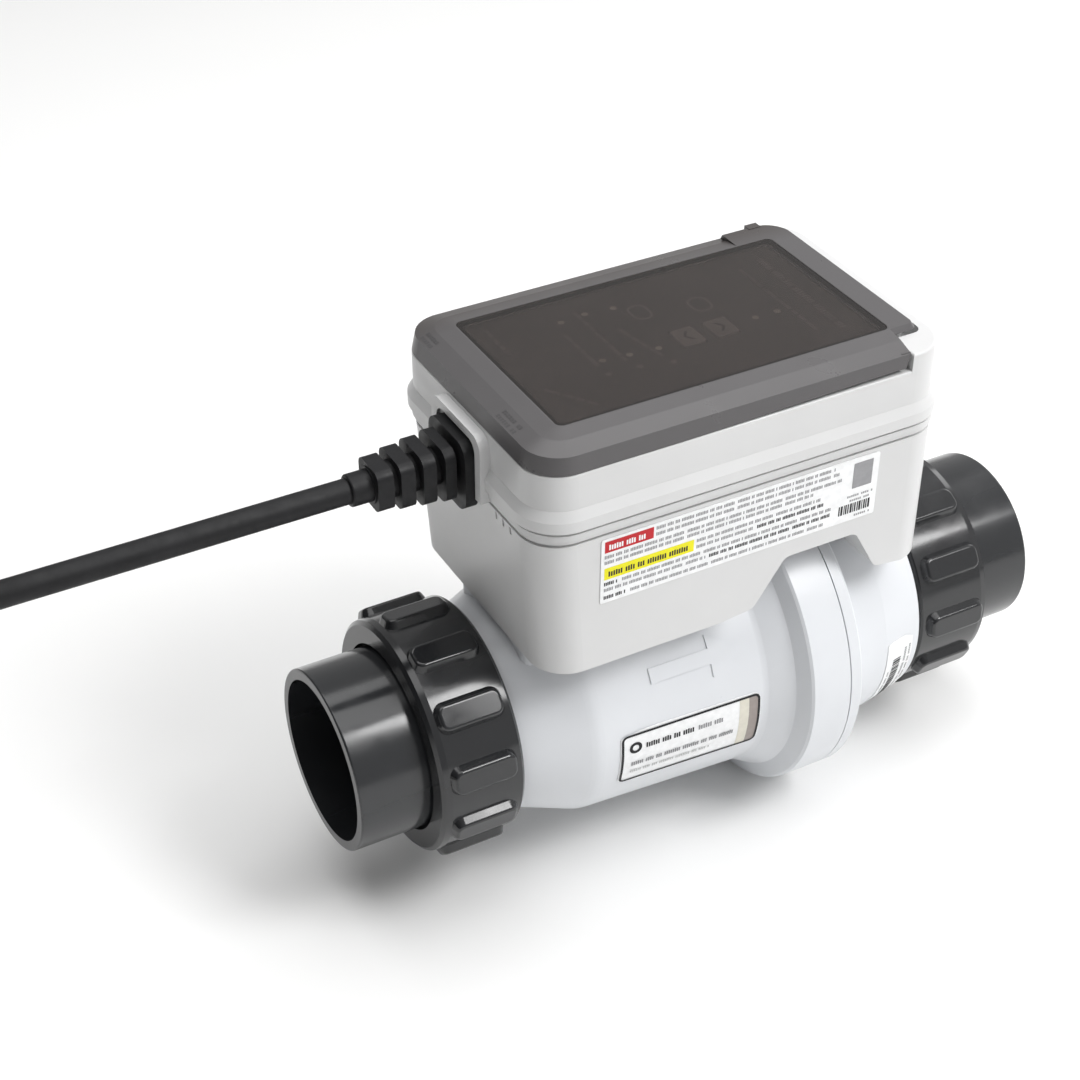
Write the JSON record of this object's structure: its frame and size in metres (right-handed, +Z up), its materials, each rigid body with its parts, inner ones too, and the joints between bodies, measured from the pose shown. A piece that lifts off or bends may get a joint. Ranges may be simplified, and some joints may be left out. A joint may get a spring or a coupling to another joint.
{
  "type": "salt chlorine generator",
  "caption": "In-line salt chlorine generator cell with pipe unions at both ends, an electronics box with a hinged smoked lid on top, and a supply cable with a moulded plug.",
  "frame": {"origin": "centre of the inlet socket's mouth, on the flow axis", "axes": "+X along the flow from inlet to outlet, +Z up towards the electronics box and its lid, -Y the side that carries the labels"},
  "size_m": [0.6839, 0.1448, 0.2045],
  "materials": {
    "body_plastic": "light cool grey moulded plastic, satin",
    "case_plastic": "light cool grey moulded plastic, satin",
    "union_plastic": "near-black moulded plastic, semi-gloss",
    "tail_plastic": "dark grey moulded plastic, semi-gloss",
    "seal_rubber": "black moulded rubber",
    "weld_plastic": "light grey weld bead",
    "label_white": null,
    "plate_printed": null,
    "blade_titanium": "dark oxide-coated titanium",
    "rack_plastic": "grey moulded plastic",
    "post_metal": "turned titanium",
    "screw_steel": "stainless steel",
    "paddle_plastic": "dark moulded plastic",
    "board_green": "green lacquered circuit board",
    "component_dark": "moulded components",
    "lead_rubber": "insulated lead",
    "panel_dark": null,
    "key_dark": "grey-brown soft keys",
    "light_clear": "translucent indicator lamps, unlit",
    "lid_grey": "smoked grey plastic",
    "window_smoked": "smoked clear plastic",
    "gland_rubber": "matt black rubber",
    "cord_rubber": "matt black cable jacket",
    "tie_plastic": "black cable tie",
    "pin_brass": "plated brass pins"
  },
  "bodies": {
    "cell": {"inlet_union_oring": "seal_rubber", "outlet_union_oring": "seal_rubber", "inlet_housing": "body_plastic", "outlet_housing": "body_plastic", "flange_weld_ring": "weld_plastic", "name_label": "label_white", "serial_label": "label_white", "info_plate": "plate_printed", "electrode_blades": "blade_titanium", "electrode_rack_inlet": "rack_plastic", "electrode_rack_outlet": "rack_plastic", "electrode_posts": "post_metal", "post_seals": "seal_rubber", "post_nuts": "screw_steel", "temperature_sensor": "screw_steel", "flow_switch_stem": "paddle_plastic", "paddle_pin": "screw_steel", "lower_case": "case_plastic", "upper_case": "case_plastic", "case_gasket": "seal_rubber", "lid_seal": "seal_rubber", "case_screws": "screw_steel", "saddle_screws": "screw_steel", "circuit_board": "board_green", "board_parts": "component_dark", "power_leads": "lead_rubber", "control_panel": "panel_dark", "indicator_lights": "light_clear", "key_board": "board_green", "lid_pin": "screw_steel", "cable_gland": "gland_rubber", "power_cord": "cord_rubber", "cord_coil": "cord_rubber", "cord_tie": "tie_plastic", "plug_body": "gland_rubber", "plug_pins": "pin_brass"},
    "inlet_tail": {"inlet_tailpiece": "tail_plastic"},
    "inlet_nut": {"inlet_union_nut": "union_plastic"},
    "outlet_tail": {"outlet_tailpiece": "tail_plastic"},
    "outlet_nut": {"outlet_union_nut": "union_plastic"},
    "paddle": {"flow_paddle": "paddle_plastic"},
    "lid": {"lid_frame": "lid_grey", "lid_window": "window_smoked"},
    "less_button": {"less_key": "key_dark"},
    "more_button": {"more_key": "key_dark"}
  },
  "joints": [
    {"name": "inlet_tail_slide", "type": "slide", "parent": "cell", "child": "inlet_tail", "axis": [-1, 0, 0], "range_m": [0, 0.0181]},
    {"name": "inlet_nut_spin", "type": "hinge", "parent": "inlet_tail", "child": "inlet_nut", "pos_m": [0.043, 0, 0], "axis": [-1, 0, 0], "range_deg": [0, 1620]},
    {"name": "outlet_tail_slide", "type": "slide", "parent": "cell", "child": "outlet_tail", "axis": [1, 0, 0], "range_m": [0, 0.0181]},
    {"name": "outlet_nut_spin", "type": "hinge", "parent": "outlet_tail", "child": "outlet_nut", "pos_m": [0.2485, 0, 0], "axis": [1, 0, 0], "range_deg": [0, 1620]},
    {"name": "paddle_swing", "type": "hinge", "parent": "cell", "child": "paddle", "pos_m": [0.076, 0, 0.024], "axis": [0, -1, 0], "range_deg": [0, 25], "stiffness_Nm_per_rad": 0.001, "springref_deg": -8.59},
    {"name": "lid_hinge", "type": "hinge", "parent": "cell", "child": "lid", "pos_m": [0.2125, 0, 0.1354], "axis": [0, 1, 0], "range_deg": [0, 84]},
    {"name": "less_press", "type": "slide", "parent": "cell", "child": "less_button", "axis": [0, 0, -1], "range_m": [0, 0.0006], "stiffness_N_per_m": 1500, "springref_m": -0.0002},
    {"name": "more_press", "type": "slide", "parent": "cell", "child": "more_button", "axis": [0, 0, -1], "range_m": [0, 0.0006], "stiffness_N_per_m": 1500, "springref_m": -0.0002}
  ],
  "couplings": [
    {"joint": "inlet_tail_slide", "follows": "inlet_nut_spin", "m_per_rad": 0.00063662},
    {"joint": "outlet_tail_slide", "follows": "outlet_nut_spin", "m_per_rad": 0.00063662}
  ]
}
